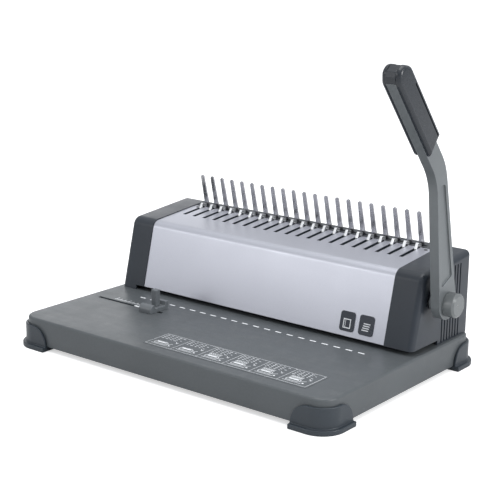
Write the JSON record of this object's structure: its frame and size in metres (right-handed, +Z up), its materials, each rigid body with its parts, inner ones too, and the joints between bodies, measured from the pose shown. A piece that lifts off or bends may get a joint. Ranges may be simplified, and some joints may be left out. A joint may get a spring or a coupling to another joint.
{
  "type": "comb binding machine",
  "caption": "Desktop plastic-comb binding machine: flat base on rubber feet, slotted silver housing with comb rake and opener hooks, one side lever, edge guide and chip drawer.",
  "frame": {"origin": "on the floor under the middle of the whole machine, lever cap included", "axes": "+X to the machine's right (lever side), +Y to the back, +Z up"},
  "size_m": [0.4214, 0.271, 0.3171],
  "materials": {
    "base_plastic": "fine spark-eroded grey",
    "bottom_plate": "black powder coat",
    "foot_rubber": "smooth blue-grey rubber",
    "silver_panel": "satin silver paint",
    "cap_plastic": "semi-gloss charcoal",
    "rear_plastic": "matt charcoal",
    "comb_steel": "satin steel",
    "hook_steel": "bright nickel plate",
    "tool_steel": "ground steel",
    "frame_steel": "zinc plated sheet",
    "bush_bronze": "sintered bronze",
    "spring_steel": "oiled spring wire",
    "screw_steel": "black-zinc screws",
    "lever_paint": "satin grey paint on cast metal",
    "grip_plastic": "matt charcoal grip",
    "hub_plastic": "pale grey cap",
    "badge_print": "dark printed tile",
    "label_film": "printed film",
    "drawer_plastic": "charcoal",
    "guide_plastic": "grey",
    "pointer_white": "white"
  },
  "bodies": {
    "machine": {"base_shell": "base_plastic", "base_bottom_cover": "bottom_plate", "base_screws": "screw_steel", "foot_front_left": "foot_rubber", "foot_front_right": "foot_rubber", "foot_rear_left": "foot_rubber", "foot_rear_right": "foot_rubber", "front_cover": "silver_panel", "left_end_cap": "cap_plastic", "right_end_cap": "cap_plastic", "rear_cover": "rear_plastic", "rake_holder": "rear_plastic", "comb_rake": "comb_steel", "front_badges": "badge_print", "panel_screws": "screw_steel", "die_plate": "tool_steel", "stripper_plate": "tool_steel", "paper_stop": "frame_steel", "side_frame_left": "frame_steel", "side_frame_right": "frame_steel", "shaft_bush_left": "bush_bronze", "shaft_bush_right": "bush_bronze", "instruction_label": "label_film", "bar_spring_left": "spring_steel", "bar_spring_right": "spring_steel"},
    "lever": {"lever_arm": "lever_paint", "grip_inner_shell": "grip_plastic", "grip_outer_shell": "grip_plastic", "grip_end": "grip_plastic", "hub_washer": "screw_steel", "hub_screw": "screw_steel", "hub_cap": "hub_plastic", "main_shaft": "tool_steel", "punch_cam_left": "tool_steel", "punch_cam_right": "tool_steel", "opener_gear_left": "tool_steel", "opener_gear_right": "tool_steel", "lever_spring": "spring_steel"},
    "punch": {"punch_bar": "tool_steel", "punch_pins": "tool_steel"},
    "opener": {"opener_carriage": "frame_steel", "opener_hooks": "hook_steel", "opener_rack_left": "tool_steel", "opener_rack_right": "tool_steel"},
    "idler": {"idler_shaft": "tool_steel", "idler_gear_left": "tool_steel", "idler_gear_right": "tool_steel"},
    "drawer": {"chip_drawer": "drawer_plastic", "drawer_pull": "drawer_plastic"},
    "guide": {"edge_guide": "guide_plastic", "edge_guide_post": "guide_plastic", "edge_guide_clip": "guide_plastic", "edge_guide_pointer": "pointer_white"}
  },
  "joints": [
    {"name": "lever_hinge", "type": "hinge", "parent": "machine", "child": "lever", "pos_m": [-0.00925, 0.051, 0.0818], "axis": [1, 0, 0], "range_deg": [0, 70], "stiffness_Nm_per_rad": 0.8, "springref_deg": -34.38},
    {"name": "punch_slide", "type": "slide", "parent": "machine", "child": "punch", "axis": [0, 0, -1], "range_m": [0, 0.0075], "deforming": ["bar_spring_left", "bar_spring_right"]},
    {"name": "opener_slide", "type": "slide", "parent": "machine", "child": "opener", "axis": [0, -1, 0], "range_m": [0, 0.0257]},
    {"name": "idler_spin", "type": "hinge", "parent": "machine", "child": "idler", "pos_m": [-0.00925, 0.0855, 0.0818], "axis": [1, 0, 0], "range_deg": [-109, 0]},
    {"name": "drawer_slide", "type": "slide", "parent": "machine", "child": "drawer", "axis": [-1, 0, 0], "range_m": [0, 0.25]},
    {"name": "guide_slide", "type": "slide", "parent": "machine", "child": "guide", "axis": [-1, 0, 0], "range_m": [0, 0.047]}
  ],
  "couplings": [
    {"joint": "punch_slide", "follows": "lever_hinge", "m_per_rad": 0.006138},
    {"joint": "opener_slide", "follows": "lever_hinge", "m_per_rad": 0.021},
    {"joint": "idler_spin", "follows": "lever_hinge", "ratio": -1.5556}
  ]
}
